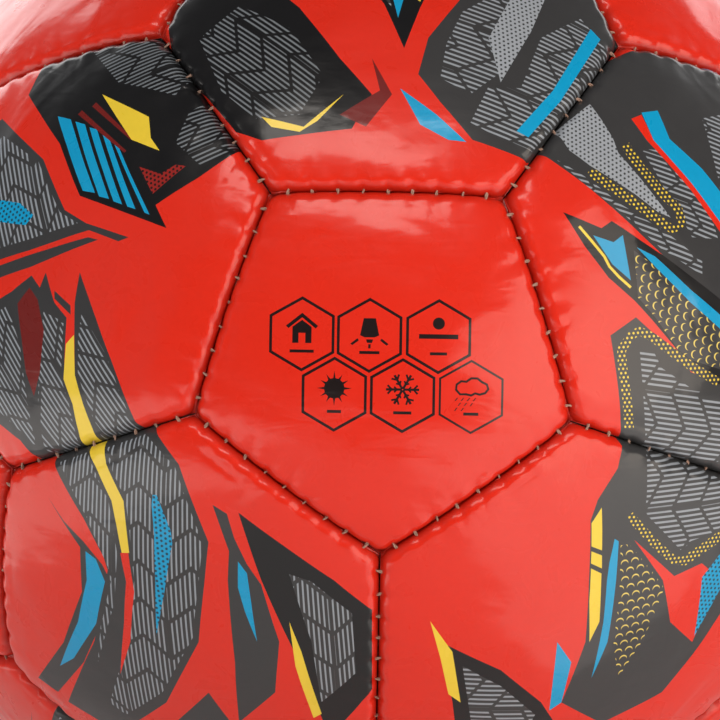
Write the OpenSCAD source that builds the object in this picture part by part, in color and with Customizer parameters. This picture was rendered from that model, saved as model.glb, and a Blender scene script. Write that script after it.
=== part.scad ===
// Hand-stitched 32-panel soccer ball, size 5, with a bladder and a push-in needle valve.
// Millimetres, origin at the ball's centre, +Z through the valve, front pentagon facing -Y.

/* [Ball] */
// Outside diameter of the pumped ball (size 5 rules allow 216.5 to 222.8)
ball_d = 220; // [217:0.5:222.5]
// Thickness of the coated cover
cover_t = 1.5; // [1.3:0.1:1.7]
// How far the turned edges of a panel reach below its outer face
edge_depth = 5.5; // [5.2:0.1:5.6]
// Depth of the groove along each seam
groove_depth = 2.2; // [1.8:0.1:2.3]

/* [Layers] */
// Thickness of the foam pad bonded under each panel
foam_t = 2.5; // [2:0.1:2.6]
// Thickness of the cloth lining under the foam
lining_t = 1.0; // [0.8:0.1:1.2]
// Wall of the rubber bladder
bladder_t = 0.9; // [0.7:0.1:1.2]

/* [Stitching] */
// Number of stitches along each seam
stitches = 9; // [7:1:9]
// Distance between two stitches
stitch_pitch = 4.75; // [4.4:0.05:4.8]
// Diameter of the waxed thread
thread_d = 0.9; // [0.8:0.05:1.0]
// Clear space round the thread in a punched hole
thread_play = 0.25; // [0.2:0.05:0.3]

/* [Valve] */
// Diameter of the hole through the valve panel
valve_hole_d = 8.8; // [8.6:0.1:10]
// Outside diameter of the valve housing's stem
stem_d = 8.2; // [8:0.1:8.2]
// Diameter of the housing's bore
valve_bore_d = 5.5; // [5.3:0.1:5.7]
// Diametral clearance between the core and the bore
core_play = 0.1; // [0.06:0.02:0.16]
// Length of the core below its head
core_len = 15.5; // [14:0.5:17]
// Diameter of the needle channel through the core
needle_d = 2.1; // [2:0.1:2.3]
// Diameter of the housing's flange inside the bladder
flange_d = 22; // [20:1:24]

/* [Hidden] */
$fn = 180;

R = ball_d / 2;
// Half the space between two panels' turned edges
seam_gap = 0.05;
// Clear space between two layers
layer_gap = 0.15;
thread_r = R - 2.3;
foam_top = R - cover_t - layer_gap;
lining_top = foam_top - foam_t - layer_gap;
// The layers stop short of the turned edges, where the thread runs
set_back = seam_gap + cover_t + thread_d + 0.45;
bladder_r = R - edge_depth - layer_gap;
patch_r = bladder_r - bladder_t - layer_gap;
patch_t = 0.9;
flange_r = patch_r - patch_t - layer_gap;
flange_t = 1.2;
stem_top = R - 0.45;
head_d = valve_bore_d + 1.2;
head_t = 0.9;
// Height of the ledge that the core's head sits on, and of the core's lower end
ledge_z = stem_top - head_t - 0.15;
core_bottom = ledge_z + 0.05 - core_len;
stem_bottom = core_bottom + 0.6;
core_r = (valve_bore_d - core_play) / 2;
// The lips' hinge lines
lip_x = 1.75;
lip_r = 0.5;
lip_z = core_bottom - 0.05;

// Shape of the 32-panel ball: an icosahedron with its corners cut off
s5 = sqrt(5);
polar_1 = acos(sqrt((5 + 2 * s5) / 15));
polar_2 = acos(sqrt((5 - 2 * s5) / 15));
function unit(v) = v / norm(v);
function dir(polar, az) = [sin(polar) * cos(az), sin(polar) * sin(az), cos(polar)];
// Axes of the twelve pentagons, in four rings of three from the top down
P = [for (ring = [[polar_1, -150], [polar_2, -90], [180 - polar_2, -150], [180 - polar_1, -90]])
       for (k = [0 : 2]) dir(ring[0], ring[1] + 120 * k)];
function near(i, j) = i != j && P[i] * P[j] > 0.3;
// The twenty hexagons lie between three neighbouring pentagons
T = [for (i = [0 : 9]) for (j = [i + 1 : 10]) for (k = [j + 1 : 11])
       if (near(i, j) && near(j, k) && near(i, k)) [i, j, k]];
function hexagon_axis(t) = unit(P[t[0]] + P[t[1]] + P[t[2]]);
function corner(i, j) = unit(2 * P[i] + P[j]);
function first_near(i) = [for (j = [0 : 11]) if (near(i, j)) j][0];
// Angle from a panel's axis to the middle of its side
function side_angle(n, to_corner) = atan(tan(to_corner) * cos(180 / n));
pentagon_side = side_angle(5, acos(P[0] * corner(0, first_near(0))));
hexagon_side = side_angle(6, acos(hexagon_axis(T[0]) * corner(T[0][0], T[0][1])));
// Seams as [middle, plane's normal], between a pentagon and a hexagon, and between two hexagons
function seam(a, b) = [unit(a + b), unit(cross(a, b))];
pentagon_seams = [for (t = T) for (k = [0 : 2]) seam(corner(t[k], t[(k + 1) % 3]), corner(t[k], t[(k + 2) % 3]))];
hexagon_seams = [for (i = [0 : 10]) for (j = [i + 1 : 11]) if (near(i, j)) seam(corner(i, j), corner(j, i))];

// Turns a piece made on +Z to the axis d, with its +X side towards the point q
module place(d, q) {
  az = atan2(d[1], d[0]);
  polar = acos(d[2]);
  x = [cos(polar) * cos(az), cos(polar) * sin(az), -sin(polar)];
  y = [-sin(az), cos(az), 0];
  rotate([0, polar, az]) rotate([0, 0, atan2(q * y, q * x)]) children();
}

// A frame on one side of a panel: +Z to the middle of the seam, +X out through the seam plane
module side_frame(n, side, k) {
  rotate([0, 0, (k + 0.5) * 360 / n]) rotate([0, side, 0]) children();
}

module ball(r) { rotate([90, 0, 0]) sphere(r); }

// The part of a ball that lies inside a panel's seam planes, each moved in by g
module panel_cone(n, side, r, g) {
  intersection() {
    ball(r);
    intersection_for(k = [0 : n - 1])
      side_frame(n, side, k) translate([-120, -60, 60]) cube([120 - g, 120, 80]);
  }
}

// Rounds a panel's edge over into the seam
module seam_groove() {
  c = 2.5 * groove_depth;
  rotate([0, 90, 0]) rotate_extrude(angle = 30, start = 165) difference() {
    translate([R - groove_depth - 0.4, -groove_depth - 0.1]) square([groove_depth + 1.6, groove_depth + 0.6]);
    translate([R - c, -c]) circle(sqrt(c * c + (c - groove_depth) * (c - groove_depth)));
  }
}

// Straight rods across a seam, one for each stitch
module stitch_rods(r, reach) {
  for (m = [0 : stitches - 1])
    rotate([(m - (stitches - 1) / 2) * stitch_pitch / R * 180 / PI, 0, 0])
      translate([-reach, 0, thread_r]) rotate([0, 90, 0]) cylinder(r = r, h = 2 * reach, $fn = 24);
}

// A cover panel: the coated skin, its turned edges, and the punched holes
module cover(n, side) {
  difference() {
    panel_cone(n, side, R, seam_gap);
    ball(R - edge_depth);
    panel_cone(n, side, R - cover_t, seam_gap + cover_t);
    for (k = [0 : n - 1]) side_frame(n, side, k) {
      seam_groove();
      stitch_rods(thread_d / 2 + thread_play, cover_t + 1.5);
    }
  }
}

// A pad or lining from radius r down by t
module layer(n, side, r, t) {
  difference() {
    panel_cone(n, side, r, set_back);
    ball(r - t);
  }
}

module on_pentagon(i) { place(P[i], corner(i, first_near(i))) children(); }
module on_hexagon(i) { place(hexagon_axis(T[i]), corner(T[i][0], T[i][1])) children(); }
module valve_hole() { translate([0, 0, 90]) cylinder(d = valve_hole_d, h = 40); }

module pentagon_panel(i) { color("orangered") on_pentagon(i) cover(5, pentagon_side); }
module hexagon_panel(i) { color("tomato") on_hexagon(i) cover(6, hexagon_side); }
module valve_panel() {
  color("tomato") difference() {
    on_hexagon(0) cover(6, hexagon_side);
    valve_hole();
  }
}

module foam_pads_pentagon() {
  color("ivory") for (i = [0 : 11]) on_pentagon(i) layer(5, pentagon_side, foam_top, foam_t);
}
module foam_pads_hexagon() {
  color("ivory") difference() {
    on_hexagon(0) layer(6, hexagon_side, foam_top, foam_t);
    valve_hole();
  }
  color("ivory") for (i = [1 : 19]) on_hexagon(i) layer(6, hexagon_side, foam_top, foam_t);
}
module cloth_linings_pentagon() {
  color("lightgray") for (i = [0 : 11]) on_pentagon(i) layer(5, pentagon_side, lining_top, lining_t);
}
module cloth_linings_hexagon() {
  color("lightgray") difference() {
    on_hexagon(0) layer(6, hexagon_side, lining_top, lining_t);
    valve_hole();
  }
  color("lightgray") for (i = [1 : 19]) on_hexagon(i) layer(6, hexagon_side, lining_top, lining_t);
}

// The thread of one seam: a rung through both edges at each stitch, and a run along each inner face
module seam_thread(s) {
  run = (stitches - 1) * stitch_pitch / R * 180 / PI;
  out = seam_gap + cover_t + thread_d / 2 + 0.1;
  place(s[0], s[1]) {
    stitch_rods(thread_d / 2, out);
    for (side = [-1, 1])
      rotate([0, 90, 0]) rotate_extrude(angle = run + 0.5, start = 180 - run / 2 - 0.25)
        translate([thread_r - thread_d / 2 - 0.1, side * out - thread_d / 2]) square([thread_d + 0.2, thread_d]);
  }
}
module seam_thread_pentagon() { color("wheat") for (s = pentagon_seams) seam_thread(s); }
module seam_thread_hexagon() { color("wheat") for (s = hexagon_seams) seam_thread(s); }

module bladder() {
  color("dimgray") difference() {
    sphere(bladder_r);
    sphere(bladder_r - bladder_t);
    translate([0, 0, 90]) cylinder(d = stem_d + 0.3, h = 20);
  }
}

// A round rubber cap of radius w, between two spheres
module cap(r, t, w) {
  difference() {
    intersection() {
      ball(r);
      translate([0, 0, 80]) cylinder(r = w, h = 40);
    }
    ball(r - t);
  }
}
module valve_patch() {
  color("gray") difference() {
    cap(patch_r, patch_t, 15);
    translate([0, 0, 90]) cylinder(d = stem_d + 0.3, h = 20);
  }
}

module valve_housing() {
  color("black") difference() {
    union() {
      cap(flange_r, flange_t, flange_d / 2);
      translate([0, 0, stem_bottom]) cylinder(d = stem_d, h = stem_top - 0.3 - stem_bottom);
      translate([0, 0, stem_top - 0.3]) cylinder(d1 = stem_d, d2 = stem_d - 0.6, h = 0.3);
    }
    translate([0, 0, stem_bottom - 1]) cylinder(d = valve_bore_d, h = 30);
    translate([0, 0, ledge_z]) cylinder(d = head_d, h = 5);
  }
}

module valve_core() {
  color("dimgray") difference() {
    union() {
      translate([0, 0, core_bottom]) cylinder(r = core_r, h = core_len + 0.1);
      translate([0, 0, ledge_z + 0.05]) cylinder(d = head_d - 0.2, h = head_t);
    }
    // needle channel with a funnel at its mouth
    translate([0, 0, core_bottom - 1]) cylinder(d = needle_d, h = 30);
    translate([0, 0, ledge_z + head_t - 0.65]) cylinder(d1 = needle_d, d2 = needle_d + 1.6, h = 0.8);
    // sockets of the two lips
    for (x = [-lip_x, lip_x])
      translate([x, 4, lip_z]) rotate([90, 0, 0]) cylinder(r = lip_r + 0.09, h = 8);
  }
}

// One lip of the duckbill at the core's inner end, on the +X side
module lip() {
  intersection() {
    union() {
      translate([lip_x, 2, lip_z]) rotate([90, 0, 0]) cylinder(r = lip_r, h = 4);
      translate([0, 2.1, lip_z]) rotate([90, 0, 0]) linear_extrude(4.2)
        polygon([[lip_x - 0.42, -0.25], [0.05, -4.4], [0.05, -5.8], [0.75, -5.8], [lip_x + 0.45, -0.8], [lip_x + 0.35, -0.3]]);
    }
    translate([0, 0, lip_z - 10]) cylinder(r = core_r - 0.2, h = 14);
  }
}
module valve_lip_right() { color("gray") lip(); }
module valve_lip_left() { color("gray") mirror([1, 0, 0]) lip(); }

pentagon_panel(0);  // pentagon_panel_01
pentagon_panel(1);  // pentagon_panel_02
pentagon_panel(2);  // pentagon_panel_03
pentagon_panel(3);  // pentagon_panel_04
pentagon_panel(4);  // pentagon_panel_05
pentagon_panel(5);  // pentagon_panel_06
pentagon_panel(6);  // pentagon_panel_07
pentagon_panel(7);  // pentagon_panel_08
pentagon_panel(8);  // pentagon_panel_09
pentagon_panel(9);  // pentagon_panel_10
pentagon_panel(10);  // pentagon_panel_11
pentagon_panel(11);  // pentagon_panel_12
valve_panel();
hexagon_panel(1);  // hexagon_panel_01
hexagon_panel(2);  // hexagon_panel_02
hexagon_panel(3);  // hexagon_panel_03
hexagon_panel(4);  // hexagon_panel_04
hexagon_panel(5);  // hexagon_panel_05
hexagon_panel(6);  // hexagon_panel_06
hexagon_panel(7);  // hexagon_panel_07
hexagon_panel(8);  // hexagon_panel_08
hexagon_panel(9);  // hexagon_panel_09
hexagon_panel(10);  // hexagon_panel_10
hexagon_panel(11);  // hexagon_panel_11
hexagon_panel(12);  // hexagon_panel_12
hexagon_panel(13);  // hexagon_panel_13
hexagon_panel(14);  // hexagon_panel_14
hexagon_panel(15);  // hexagon_panel_15
hexagon_panel(16);  // hexagon_panel_16
hexagon_panel(17);  // hexagon_panel_17
hexagon_panel(18);  // hexagon_panel_18
hexagon_panel(19);  // hexagon_panel_19
foam_pads_pentagon();
foam_pads_hexagon();
cloth_linings_pentagon();
cloth_linings_hexagon();
seam_thread_pentagon();
seam_thread_hexagon();
bladder();
valve_patch();
valve_housing();
valve_core();
valve_lip_left();
valve_lip_right();
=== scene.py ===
import math

import bpy
import numpy as np
from mathutils import Matrix, Quaternion, Vector, kdtree
from mathutils.geometry import delaunay_2d_cdt


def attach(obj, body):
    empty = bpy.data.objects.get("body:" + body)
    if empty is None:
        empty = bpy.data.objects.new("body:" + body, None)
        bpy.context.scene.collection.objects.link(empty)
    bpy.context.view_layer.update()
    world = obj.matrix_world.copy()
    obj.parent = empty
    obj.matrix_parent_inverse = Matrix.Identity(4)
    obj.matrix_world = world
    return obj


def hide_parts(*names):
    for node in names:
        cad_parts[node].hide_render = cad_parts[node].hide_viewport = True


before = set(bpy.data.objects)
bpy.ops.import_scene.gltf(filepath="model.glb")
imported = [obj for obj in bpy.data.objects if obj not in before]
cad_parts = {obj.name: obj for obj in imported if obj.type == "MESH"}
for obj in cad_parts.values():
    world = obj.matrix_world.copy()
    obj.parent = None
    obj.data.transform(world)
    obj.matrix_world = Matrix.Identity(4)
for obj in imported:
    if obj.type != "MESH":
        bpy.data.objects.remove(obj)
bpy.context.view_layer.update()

MM = 0.001
R = 110.0  # the ball's radius, in millimetres like all lengths below
STITCHES, PITCH = 9, 4.75
VALVE_R = 4.4
tau = 2 * math.pi

# ---------------------------------------------------------------- the 32 panels


def unit(v):
    v = np.asarray(v, float)
    return v / np.linalg.norm(v, axis=-1, keepdims=True)


def direction(polar, az):
    az = math.radians(az)
    return np.array([math.sin(polar) * math.cos(az), math.sin(polar) * math.sin(az), math.cos(polar)])


S5 = math.sqrt(5)
POLAR_1 = math.acos(math.sqrt((5 + 2 * S5) / 15))
POLAR_2 = math.acos(math.sqrt((5 - 2 * S5) / 15))
RINGS = ((POLAR_1, -150), (POLAR_2, -90), (math.pi - POLAR_2, -150), (math.pi - POLAR_1, -90))
P = np.array([direction(p, a + 120 * k) for p, a in RINGS for k in range(3)])
NEAR = [[j for j in range(12) if j != i and P[i] @ P[j] > 0.3] for i in range(12)]
T = [(i, j, k) for i in range(12) for j in range(i + 1, 12) for k in range(j + 1, 12)
     if j in NEAR[i] and k in NEAR[i] and k in NEAR[j]]
PENT_CORNER = math.acos(P[0] @ unit(2 * P[0] + P[NEAR[0][0]]))
HEX_AXES = [unit(P[a] + P[b] + P[c]) for a, b, c in T]
HEX_CORNER = math.acos(HEX_AXES[0] @ unit(2 * P[T[0][0]] + P[T[0][1]]))
FRONT = 3  # the pentagon that faces the camera


class Shape:
    """A regular panel in its own frame: +Z out of the ball, sides numbered counter-clockwise."""

    def __init__(self, n, corner, first):
        self.n = n
        self.side = math.atan(math.tan(corner) * math.cos(math.pi / n))
        psi = np.radians(first + np.arange(n) * 360 / n)
        c, s, z = np.cos(psi), np.sin(psi), np.zeros(n)
        ca, sa = math.cos(self.side), math.sin(self.side)
        self.mid = np.stack([sa * c, sa * s, z + ca], 1)
        self.inward = np.stack([-ca * c, -ca * s, z + sa], 1)
        self.along = np.stack([-s, c, z], 1)

    def at(self, k, s, t):
        """Unit directions on side k, s inside the seam plane and t along it."""
        s, t = np.broadcast_arrays(np.asarray(s, float) / R, np.asarray(t, float) / R)
        flat = np.cos(t)[..., None] * self.mid[k] + np.sin(t)[..., None] * self.along[k]
        return np.cos(s)[..., None] * flat + np.sin(s)[..., None] * self.inward[k]

    def seams(self, d):
        """(distance inside each seam plane, distance along each seam from its middle)."""
        s = R * np.arcsin(np.clip(d @ self.inward.T, -1, 1))
        t = R * np.arctan2(d @ self.along.T, d @ self.mid.T)
        return s, t

    def reach(self, s):
        """How far along a side a line s inside it runs to the corner."""
        low, high = 0.0, 30.0
        for _ in range(40):
            t = (low + high) / 2
            other = self.seams(self.at(0, s, t)[None])[0][0][1]
            low, high = (t, high) if other > s else (low, t)
        return low


PENT = Shape(5, PENT_CORNER, 90)
HEXA = Shape(6, HEX_CORNER, -90)


def flat(d):
    """Directions to the panel's flat layout, in millimetres."""
    return R * d[..., :2] / d[..., 2:3]


def lift(uv):
    return unit(np.concatenate([uv / R, np.ones(uv.shape[:-1] + (1,))], -1))


def frame_of(axis, up):
    """Columns x, y, z of a panel's frame: z along axis and y towards up."""
    axis = unit(axis)
    y = unit(up - (up @ axis) * axis)
    return np.stack([np.cross(y, axis), y, axis], 1)


def pent_frame(i):
    if i == FRONT:
        return frame_of(P[i], np.array([0, 0, 1.0]))
    j = min(NEAR[i], key=lambda j: (round(P[j][2], 4), j))
    return frame_of(P[i], -P[j])


def hex_frame(i, home):
    """y points away from the home pentagon, so side 0 is the seam they share."""
    return frame_of(HEX_AXES[i], -P[home])


# ---------------------------------------------------------------- the skin's shape

ROLL, SHOULDER, SHOULDER_FADE = 2.25, 0.80, 5.0


def seeded(*key):
    return np.random.default_rng(list(key))


class Skin:
    """How far a panel's outer face lies below the ball's sphere."""

    def __init__(self, shape, seed, hole=0.0):
        self.shape, self.hole = shape, hole
        rng = seeded(7, seed)
        n = shape.n
        self.creases = []
        for k in range(n):
            for m in range(STITCHES):
                for _ in range(2):
                    self.creases.append((
                        k, (m - (STITCHES - 1) / 2) * PITCH + rng.uniform(-1.7, 1.7), rng.uniform(-0.9, 0.9),
                        rng.uniform(0.45, 0.95), rng.uniform(1.4, 4.5), rng.uniform(-0.05, 0.13)))
        # a few soft folds that run beside a seam, where the pad is pulled round a corner
        self.folds = [(k, rng.uniform(2.4, 4.2), rng.uniform(-16, 16), rng.uniform(5, 9), rng.uniform(0.06, 0.16))
                      for k in range(n) if rng.random() < 0.6]
        self.waves = [(unit(rng.normal(size=3)) * tau / rng.uniform(9, 26), rng.uniform(0, tau), rng.uniform(0.4, 1.0))
                      for _ in range(14)]
        self.dimples = rng.uniform(0.75, 1.25, (n, STITCHES))
        self.slack = rng.uniform(0.7, 1.15, n)

    def drop(self, d):
        shape = self.shape
        s, t = shape.seams(d)
        low = s.min(1)
        inside = low - np.log(np.exp(-(s - low[:, None]) * 1.3).sum(1)) / 1.3
        edge = np.clip(inside, 0.02, None)
        second = np.partition(s, 1, 1)[:, 1]
        corner = np.exp(-(np.hypot(low.clip(0), second.clip(0)) / 3.0) ** 1.5)
        r = np.minimum(edge, ROLL)
        out = ROLL - np.sqrt(np.clip(ROLL ** 2 - (ROLL - r) ** 2, 0, None))
        near = np.exp(-s.clip(0) / 6.0)
        slack = (near * self.slack).sum(1) / near.sum(1)
        out += SHOULDER * slack * np.exp(-edge / SHOULDER_FADE) + 0.85 * corner
        inner = s.clip(0, None)
        for k in range(shape.n):
            close = inner[:, k] < 14
            if not close.any():
                continue
            sk, tk = inner[close, k], t[close, k]
            m = np.clip(np.round(tk / PITCH), -4, 4).astype(int)
            dt = tk - m * PITCH
            deep = self.dimples[k, m + 4]
            pull = 0.50 * deep * np.exp(-(dt / 0.85) ** 2) * np.exp(-(sk / 1.35) ** 2)
            pull += 0.13 * deep * np.exp(-(dt / 1.5) ** 2) * np.exp(-sk / 3.2)
            pull -= 0.06 * np.exp(-((np.abs(dt) - PITCH / 2) / 1.1) ** 2) * np.exp(-((sk - 1.6) / 1.4) ** 2)
            for kk, t0, slope, width, length, amount in self.creases:
                if kk == k:
                    pull += amount * np.exp(-((tk - t0 - slope * sk) / width) ** 2) * np.exp(-sk / length) * (1 - np.exp(-sk / 0.6))
            for kk, s0, t0, length, amount in self.folds:
                if kk == k:
                    pull += amount * np.exp(-((sk - s0 - 0.06 * (tk - t0)) / 0.9) ** 2) * np.exp(-((tk - t0) / length) ** 2)
            out[close] += pull
        x = d * R
        wave = sum(a * np.sin(x @ k + p) for k, p, a in self.waves) / 3.0
        out += (0.075 + 0.06 * np.exp(-edge / 9.0)) * (wave + 1.2)
        if self.hole:
            q = np.hypot(*flat(d).T) - self.hole
            r = np.clip(q, 0.01, 0.9)
            out += 0.9 - np.sqrt(0.81 - (0.9 - r) ** 2) + 0.25 * np.exp(-q.clip(0) / 2.5)
        return out.clip(0.0, None), inside

    def points(self, uv):
        d = lift(uv)
        drop, inside = self.drop(d)
        return d * (R - drop)[:, None], inside

    def normals(self, uv):
        e = 0.04
        a, b = (self.points(uv + s * np.array([e, 0]))[0] for s in (1, -1))
        c, d = (self.points(uv + s * np.array([0, e]))[0] for s in (1, -1))
        return unit(np.cross(a - b, c - d))


# ---------------------------------------------------------------- flat layouts, cut along the print

GAP = 0.14


def in_polygon(points, poly):
    """Even-odd test of many points against one closed outline."""
    poly = np.asarray(poly, float)
    x, y = points[:, 0][:, None], points[:, 1][:, None]
    a, b = poly, np.roll(poly, -1, 0)
    inside = np.zeros(len(points), bool)
    step = max(1, int(4e6 // max(1, len(poly))))
    for i in range(0, len(points), step):
        xs, ys = x[i:i + step], y[i:i + step]
        crosses = (a[:, 1] > ys) != (b[:, 1] > ys)
        with np.errstate(divide="ignore", invalid="ignore"):
            at = a[:, 0] + (ys - a[:, 1]) * (b[:, 0] - a[:, 0]) / (b[:, 1] - a[:, 1])
        inside[i:i + step] = (crosses & (xs < at)).sum(1) % 2 == 1
    return inside


class Layout:
    """A panel's outer face as triangles in its flat layout, each with the number of its ink."""

    def __init__(self, shape, prints, hole=0.0):
        self.shape, self.hole = shape, hole
        n = shape.n
        loop = []
        reach = shape.reach(GAP)
        count = int(2 * reach / 0.45)
        for k in range(n):
            t = np.linspace(-reach, reach, count, endpoint=False)
            dt = t - PITCH * np.clip(np.round(t / PITCH), -4, 4)
            open_ = GAP + 0.34 * np.exp(-(dt / 0.62) ** 2)
            loop.append(flat(shape.at(k, open_, t)))
        loop = np.concatenate(loop)
        rim = np.zeros((0, 2))
        if hole:
            a = np.arange(96) * tau / 96
            rim = hole * np.stack([np.cos(a), np.sin(a)], 1)
        rows = []
        for s, step in ((0.3, .45), (0.5, .45), (0.75, .45), (1.05, .5), (1.4, .5), (1.8, .55), (2.3, .6), (2.9, .7),
                        (3.6, .8), (4.5, 1.0), (5.6, 1.2), (6.9, 1.4), (8.3, 1.6)):
            reach = shape.reach(s)
            count = max(3, int(2 * reach / step))
            for k in range(n):
                t = np.linspace(-reach, reach, count, endpoint=False)
                dt = t - PITCH * np.clip(np.round(t / PITCH), -4, 4)
                keep = s > GAP + 0.34 * np.exp(-(dt / 0.62) ** 2) + 0.08
                rows.append(flat(shape.at(k, s, t[keep])))
        step = 1.75
        span = np.arange(-34, 35)
        gx, gy = np.meshgrid(span * step, span * step * math.sqrt(3) / 2)
        gx = gx + (np.arange(len(span)) % 2)[:, None] * step / 2
        grid = np.stack([gx.ravel(), gy.ravel()], 1)
        grid = grid[shape.seams(lift(grid))[0].min(1) > 9.3]
        fill = np.concatenate(rows + [grid])
        if hole:
            q = np.hypot(*fill.T) - hole
            fill = fill[q > 2.6]
            for off, m in ((0.12, 96), (0.3, 96), (0.55, 96), (0.9, 80), (1.4, 64), (2.0, 48)):
                a = (np.arange(m) + 0.5) * tau / m
                fill = np.concatenate([fill, (hole + off) * np.stack([np.cos(a), np.sin(a)], 1)])
        # the print's outlines, in short steps
        cut, links = [], []
        base = 0
        for _, poly in prints:
            poly = np.asarray(poly, float)
            pts = []
            for a, b in zip(poly, np.roll(poly, -1, 0)):
                length = math.hypot(*(b - a))
                m = max(1, int(math.ceil(length / 0.5)))
                f = np.arange(m)[:, None] / m
                seg = a + (b - a) * f
                s = shape.seams(lift(seg))[0].min(1)
                if m > 4:  # fewer points away from the seams
                    keep = (s < 4.0) | (np.arange(m) % 3 == 0)
                    seg = seg[keep]
                pts.append(seg)
            pts = np.concatenate(pts)
            s = shape.seams(lift(pts))[0].min(1)
            ids = np.full(len(pts), -1)
            ok = s > -0.8
            if hole:
                ok &= np.hypot(*pts.T) > hole - 0.6
            ids[ok] = base + np.arange(ok.sum())
            base += int(ok.sum())
            cut.append(pts[ok])
            m = len(pts)
            links += [(ids[i], ids[(i + 1) % m]) for i in range(m) if ids[i] >= 0 and ids[(i + 1) % m] >= 0]
        cut = np.concatenate(cut) if cut else np.zeros((0, 2))
        if len(cut):
            tree = kdtree.KDTree(len(cut))
            for i, c in enumerate(cut):
                tree.insert((c[0], c[1], 0), i)
            tree.balance()
            fill = fill[[tree.find((p[0], p[1], 0))[2] > 0.22 for p in fill]]
        L = len(loop)
        H = len(rim)
        verts = np.concatenate([loop, rim, cut, fill])
        edges = [(i, (i + 1) % L) for i in range(L)] + [(L + i, L + (i + 1) % H) for i in range(H)]
        edges += [(L + H + a, L + H + b) for a, b in links if a != b]
        out = delaunay_2d_cdt([Vector((float(a), float(b))) for a, b in verts],
                              [(int(a), int(b)) for a, b in edges], [], 0, 1e-4)
        uv = np.array([tuple(v) for v in out[0]])
        tri = np.array([f for f in out[2] if len(f) == 3])
        mid = uv[tri].mean(1)
        keep = in_polygon(mid, loop)
        if hole:
            keep &= ~in_polygon(mid, rim)
        tri = tri[keep]
        a, b, c = uv[tri[:, 0]], uv[tri[:, 1]], uv[tri[:, 2]]
        area = (b[:, 0] - a[:, 0]) * (c[:, 1] - a[:, 1]) - (b[:, 1] - a[:, 1]) * (c[:, 0] - a[:, 0])
        tri[area < 0] = tri[area < 0][:, ::-1]
        tri = tri[np.abs(area) > 1e-9]
        mid = uv[tri].mean(1)
        ink = np.zeros(len(tri), int)
        self.inks = ["red"]
        for name, poly in prints:
            if name not in self.inks:
                self.inks.append(name)
            ink[in_polygon(mid, poly)] = self.inks.index(name)
        used, tri = np.unique(tri, return_inverse=True)
        self.uv, self.tri, self.ink = uv[used], tri.reshape(-1, 3), ink
        # the open edges, in order
        pairs = np.concatenate([self.tri[:, [0, 1]], self.tri[:, [1, 2]], self.tri[:, [2, 0]]])
        have = set(map(tuple, pairs.tolist()))
        nxt = {a: b for a, b in have if (b, a) not in have}
        self.loops = []
        while nxt:
            start = min(nxt)
            ring, at = [], start
            while at in nxt:
                ring.append(at)
                at = nxt.pop(at)
            self.loops.append(ring)
        self.loops.sort(key=len, reverse=True)


def ring_points(shape, s, r, per_side):
    """Points of a ring s inside the seam planes at radius r, and each point's place round the panel."""
    pts, place = [], []
    reach = shape.reach(s)
    for k in range(shape.n):
        f = np.arange(per_side) / per_side
        pts.append(shape.at(k, s, -reach + 2 * reach * f) * r)
        place.append(k + f)
    return np.concatenate(pts), np.concatenate(place)


def stitch_rings(a, pa, b, pb, turns):
    """Triangles between ring a (outer ids) and ring b (ids), both counter-clockwise from place 0."""
    out, i, j, na, nb = [], 0, 0, len(a), len(b)
    while i < na or j < nb:
        next_a = pa[i + 1] if i + 1 < na else (turns + pa[0] if i < na else 1e9)
        next_b = pb[j + 1] if j + 1 < nb else (turns + pb[0] if j < nb else 1e9)
        if i < na and (next_a <= next_b or j >= nb):
            out.append((a[i % na], b[j % nb], a[(i + 1) % na]))
            i += 1
        else:
            out.append((a[i % na], b[j % nb], b[(j + 1) % nb]))
            j += 1
    return out


MATERIALS = {}


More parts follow.
